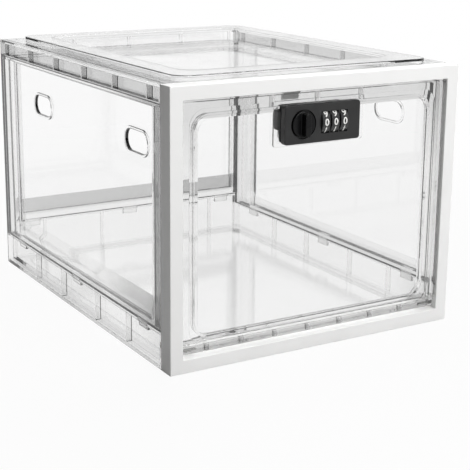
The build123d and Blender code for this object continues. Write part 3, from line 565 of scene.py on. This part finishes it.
def makeDigitTree(values):
    tree = bpy.data.node_groups.new("wheelDigits", "GeometryNodeTree")
    interface = tree.interface
    interface.new_socket("Geometry", in_out="INPUT", socket_type="NodeSocketGeometry")
    for label, kind in (
        ("Size", "NodeSocketFloat"), ("Boldness", "NodeSocketFloat"), ("Relief", "NodeSocketFloat"),
        ("Radius", "NodeSocketFloat"), ("Centre", "NodeSocketVector"), ("Paint", "NodeSocketMaterial"),
    ):
        interface.new_socket(label, in_out="INPUT", socket_type=kind)
    interface.new_socket("Geometry", in_out="OUTPUT", socket_type="NodeSocketGeometry")
    given = tree.nodes.new("NodeGroupInput").outputs
    result = tree.nodes.new("NodeGroupOutput").inputs[0]
    ringStep = mathNode(tree, "MULTIPLY", given["Radius"], 2 * pi / values["count"])
    together = tree.nodes.new("GeometryNodeJoinGeometry")
    for digit in range(values["count"]):
        letters = geometryNode(
            tree, "GeometryNodeStringToCurves", {"String": str(digit), "Size": given["Size"]},
            align_x="CENTER", align_y="MIDDLE",
        )
        down = geometryNode(
            tree, "ShaderNodeCombineXYZ", {"Y": mathNode(tree, "MULTIPLY", ringStep, -float(digit))}
        )
        placed = geometryNode(
            tree, "GeometryNodeTransform",
            {"Geometry": letters.outputs["Curve Instances"], "Translation": down.outputs[0]},
        )
        tree.links.new(placed.outputs[0], together.inputs[0])
    flat = geometryNode(tree, "GeometryNodeRealizeInstances", {"Geometry": together.outputs[0]})
    outline = geometryNode(tree, "GeometryNodeResampleCurve", {"Curve": flat.outputs[0]}, mode="EVALUATED")
    # Widen each stroke by moving its outline sideways
    across = geometryNode(
        tree, "ShaderNodeVectorMath",
        {0: tree.nodes.new("GeometryNodeInputTangent").outputs[0], 1: (0.0, 0.0, 1.0)},
        operation="CROSS_PRODUCT",
    )
    wider = geometryNode(
        tree, "ShaderNodeVectorMath", {0: across.outputs[0], "Scale": given["Boldness"]}, operation="SCALE"
    )
    bold = geometryNode(
        tree, "GeometryNodeSetPosition", {"Geometry": outline.outputs[0], "Offset": wider.outputs[0]}
    )
    filled = geometryNode(tree, "GeometryNodeFillCurve", {"Curve": bold.outputs[0]}, mode="TRIANGLES")
    fine = geometryNode(
        tree, "GeometryNodeSubdivideMesh", {"Mesh": filled.outputs[0], "Level": values["fineness"]}
    )
    # Wrap the flat digits round the wheel: across stays X, up becomes an angle from the front
    place = geometryNode(
        tree, "ShaderNodeSeparateXYZ", {0: tree.nodes.new("GeometryNodeInputPosition").outputs[0]}
    )
    angle = mathNode(tree, "DIVIDE", place.outputs["Y"], given["Radius"])
    forward = mathNode(tree, "MULTIPLY", mathNode(tree, "COSINE", angle), given["Radius"])
    upward = mathNode(tree, "MULTIPLY", mathNode(tree, "SINE", angle), given["Radius"])
    wrapped = geometryNode(
        tree, "ShaderNodeCombineXYZ",
        {"X": place.outputs["X"], "Y": mathNode(tree, "MULTIPLY", forward, -1.0), "Z": upward},
    )
    moved = geometryNode(
        tree, "ShaderNodeVectorMath", {0: wrapped.outputs[0], 1: given["Centre"]}, operation="ADD"
    )
    bent = geometryNode(
        tree, "GeometryNodeSetPosition", {"Geometry": fine.outputs[0], "Position": moved.outputs[0]}
    )
    raised = geometryNode(
        tree, "GeometryNodeExtrudeMesh",
        {"Mesh": bent.outputs[0], "Offset Scale": given["Relief"], "Individual": False},
    )
    foot = geometryNode(tree, "GeometryNodeFlipFaces", {"Mesh": bent.outputs[0]})
    both = tree.nodes.new("GeometryNodeJoinGeometry")
    tree.links.new(raised.outputs["Mesh"], both.inputs[0])
    tree.links.new(foot.outputs[0], both.inputs[0])
    closed = geometryNode(
        tree, "GeometryNodeMergeByDistance", {"Geometry": both.outputs[0], "Distance": values["merge"]}
    )
    real = geometryNode(tree, "GeometryNodeRealizeInstances", {"Geometry": closed.outputs[0]})
    painted = geometryNode(
        tree, "GeometryNodeSetMaterial", {"Geometry": real.outputs[0], "Material": given["Paint"]}
    )
    tree.links.new(painted.outputs[0], result)
    return tree


def setInput(modifier, label, value):
    for item in modifier.node_group.interface.items_tree:
        if item.item_type == "SOCKET" and item.in_out == "INPUT" and item.name == label:
            modifier[item.identifier] = value


def addDigits(tree, wheel, values):
    low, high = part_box(wheel)
    centre = (low + high) / 2
    radius = (high.y - low.y) / 2 - values["sunk"]
    piece = bpy.data.objects.new(wheel + "Digits", bpy.data.meshes.new(wheel + "Digits"))
    bpy.context.scene.collection.objects.link(piece)
    modifier = piece.modifiers.new("wheelDigits", "NODES")
    modifier.node_group = tree
    settings = {
        "Size": values["size"],
        "Boldness": values["boldness"],
        "Relief": values["relief"] + values["sunk"],
        "Radius": radius,
        "Centre": centre,
        "Paint": plastics["digitPaint"],
    }
    for label, value in settings.items():
        setInput(modifier, label, value)
    evaluated = piece.evaluated_get(bpy.context.evaluated_depsgraph_get())
    mesh = bpy.data.meshes.new_from_object(evaluated)
    piece.modifiers.clear()
    piece.data = mesh
    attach(piece, nodes[wheel]["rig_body"])
    print("  ", piece.name, len(mesh.polygons), "faces")


digitTree = makeDigitTree(digitValues)
for wheel in ("wheel_left", "wheel_middle", "wheel_right"):
    addDigits(digitTree, wheel, digitValues)
print("digits made")


# Floor, lights and surroundings

def makeFloor(values):
    mesh = bpy.data.meshes.new("floor")
    build = bmesh.new()
    bmesh.ops.create_grid(build, x_segments=1, y_segments=1, size=values["reach"])
    build.to_mesh(mesh)
    build.free()
    floor = bpy.data.objects.new("floor", mesh)
    bpy.context.scene.collection.objects.link(floor)
    floor.location.z = values["drop"]
    material, tree, shader, coordinates = startMaterial("floorPaper", {"Roughness": values["roughness"]})
    finish = useGroup(
        tree, mouldFinish, coordinates,
        Wave_Size=values["waveSize"], Grain_Size=values["grainSize"], Grain_Share=values["grainShare"],
    )
    paper = mixColours(tree, finish.outputs["Mask"], values["colour"], values["shade"])
    tree.links.new(paper, shader.inputs["Base Color"])
    glow = addNode(tree, "ShaderNodeEmission")
    path = addNode(tree, "ShaderNodeLightPath")
    seen = mathNode(tree, "MAXIMUM", path.outputs["Is Camera Ray"], path.outputs["Is Glossy Ray"])
    seen = mathNode(tree, "MAXIMUM", seen, path.outputs["Is Transmission Ray"])
    distance = addNode(tree, "ShaderNodeVectorMath", operation="LENGTH")
    tree.links.new(coordinates, distance.inputs[0])
    fade = mapRange(
        tree, distance.outputs["Value"], values["near"], values["far"], values["glowShare"], 1.0, True
    )
    share = mathNode(tree, "MULTIPLY", seen, fade)
    choose = addNode(tree, "ShaderNodeMixShader")
    tree.links.new(share, choose.inputs["Fac"])
    tree.links.new(shader.outputs["BSDF"], choose.inputs[1])
    tree.links.new(glow.outputs["Emission"], choose.inputs[2])
    tree.links.new(choose.outputs["Shader"], tree.nodes["Material Output"].inputs["Surface"])
    mesh.materials.append(material)


floorValues = {
    "reach": 6.0,
    "drop": -0.0002,
    "colour": (0.5, 0.5, 0.5, 1),
    "shade": (0.47, 0.47, 0.47, 1),
    "roughness": 0.9,
    "waveSize": 6.0,
    "grainSize": 400.0,
    "grainShare": 0.2,
    "glowShare": 0.94,   # white seen as it is near the box, the rest takes lamps and shadow
    "near": 0.2,         # from the middle, where the floor starts to turn plain white
    "far": 0.9,
}
makeFloor(floorValues)

lamps = {
    "keyLamp": {"place": (0.2, -1.3, 1.0), "size": 0.8, "watts": 19.3},
    "topLamp": {"place": (0.5, 0.2, 1.75), "size": 1.0, "watts": 22.0},
    "fillLamp": {"place": (1.5, 0.9, 1.0), "size": 1.0, "watts": 3.0},
}
middle = (cadBox[0] + cadBox[1]) / 2
for name, values in lamps.items():
    light = bpy.data.lights.new(name, "AREA")
    light.size = values["size"]
    light.energy = values["watts"]
    lamp = bpy.data.objects.new(name, light)
    lamp.location = values["place"]
    lamp.rotation_euler = (Vector(values["place"]) - middle).to_track_quat("Z", "Y").to_euler()
    lamp.visible_transmission = False
    bpy.context.scene.collection.objects.link(lamp)

worldValues = {
    "background": 1.0,   # what the camera sees
    "ambient": (0.032, 0.03, 0.027, 1.0),     # what matt surfaces get
    "horizon": 1.0,      # what glass and gloss see near the horizon and below it
    "bandLow": 0.42,     # dark band above it, as sines of its limits
    "bandHigh": 0.8,
    "bandEdge": 0.08,
    "band": 0.5,
    "zenith": 0.9,
    "flags": (20, 112, 158, 202, 248, 292, 338),   # dark upright screens, degrees from +X
    "flagWidth": 14.0,
    "flagEdge": (-0.004, 0.002),   # where a screen's dark starts and ends, as cosines past its edge
    "flagShade": 0.03,
}


def makeWorld(values):
    world = bpy.data.worlds.new("studio")
    world.use_nodes = True
    bpy.context.scene.world = world
    tree = world.node_tree
    background = tree.nodes["Background"]
    outward = addNode(tree, "ShaderNodeTexCoord").outputs["Generated"]
    direction = addNode(tree, "ShaderNodeSeparateXYZ")
    tree.links.new(outward, direction.inputs[0])
    ramp = addNode(tree, "ShaderNodeValToRGB")
    tree.links.new(mapRange(tree, direction.outputs["Z"], 0.0, 1.0, 0.0, 1.0), ramp.inputs["Fac"])
    stops = (
        (0.0, values["horizon"]),
        (values["bandLow"], values["horizon"]),
        (values["bandLow"] + values["bandEdge"], values["band"]),
        (values["bandHigh"], values["band"]),
        (values["bandHigh"] + values["bandEdge"], values["zenith"]),
    )
    elements = ramp.color_ramp.elements
    while len(elements) < len(stops):
        elements.new(0.5)
    for element, (place, level) in zip(elements, stops):
        element.position = place
        element.color = (level, level, level, 1.0)
    surroundings = ramp.outputs["Color"]
    flattened = addNode(tree, "ShaderNodeVectorMath", operation="MULTIPLY")
    flattened.inputs[1].default_value = (1.0, 1.0, 0.0)
    tree.links.new(outward, flattened.inputs[0])
    heading = addNode(tree, "ShaderNodeVectorMath", operation="NORMALIZE")
    tree.links.new(flattened.outputs["Vector"], heading.inputs[0])
    shade = (values["flagShade"],) * 3 + (1.0,)
    edge = cos(radians(values["flagWidth"] / 2))
    faint, full = (edge + step for step in values["flagEdge"])
    for angle in values["flags"]:
        facing = addNode(tree, "ShaderNodeVectorMath", operation="DOT_PRODUCT")
        tree.links.new(heading.outputs["Vector"], facing.inputs[0])
        facing.inputs[1].default_value = (cos(radians(angle)), sin(radians(angle)), 0.0)
        screen = mapRange(tree, facing.outputs["Value"], faint, full, 0.0, 1.0, True)
        surroundings = mixColours(tree, screen, surroundings, shade)
    path = addNode(tree, "ShaderNodeLightPath")
    shiny = mathNode(tree, "MAXIMUM", path.outputs["Is Glossy Ray"], path.outputs["Is Transmission Ray"])
    seen = mixColours(tree, shiny, values["ambient"], surroundings)
    plain = (values["background"],) * 3 + (1.0,)
    tree.links.new(mixColours(tree, path.outputs["Is Camera Ray"], seen, plain), background.inputs["Color"])


makeWorld(worldValues)
print("floor, lamps and world made")


# Camera, set from the middle of the box

cameraValues = {
    "azimuth": 30.394,   # degrees, to the left of straight on
    "elevation": 14.027,
    "roll": 0.434,
    "distance": 1.1303,
    "right": 0.009,
    "up": -0.029,
    "lens": 91.28,
    "shiftX": 0.0298,
    "shiftY": -0.0681,
    "sensor": 36.0,
    "nearest": 0.05,
}


def makeCamera(values):
    low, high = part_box("front_frame")
    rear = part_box("back_panel")[1].y
    centre = Vector((0.0, (low.y + rear) / 2, high.z / 2))
    azimuth, elevation = radians(values["azimuth"]), radians(values["elevation"])
    back = Vector((-sin(azimuth) * cos(elevation), -cos(azimuth) * cos(elevation), sin(elevation)))
    right = (-back).cross(Vector((0, 0, 1))).normalized()
    up = right.cross(-back)
    data = bpy.data.cameras.new("camera")
    data.lens = values["lens"]
    data.sensor_width = values["sensor"]
    data.shift_x = values["shiftX"]
    data.shift_y = values["shiftY"]
    data.clip_start = values["nearest"]
    camera = bpy.data.objects.new("camera", data)
    bpy.context.scene.collection.objects.link(camera)
    turn = radians(values["roll"])
    rolledRight = right * cos(turn) + up * sin(turn)
    rolledUp = up * cos(turn) - right * sin(turn)
    camera.matrix_world = Matrix.Translation(
        centre + back * values["distance"] + right * values["right"] + up * values["up"]
    ) @ Matrix((rolledRight, rolledUp, back)).transposed().to_4x4()
    bpy.context.scene.camera = camera


makeCamera(cameraValues)
scene = bpy.context.scene
scene.view_settings.view_transform = "Standard"
# Light crosses many clear walls on its way to the camera
lightBounces = 24
scene.cycles.max_bounces = lightBounces
scene.cycles.transmission_bounces = lightBounces
scene.cycles.transparent_max_bounces = 32
print("camera set")
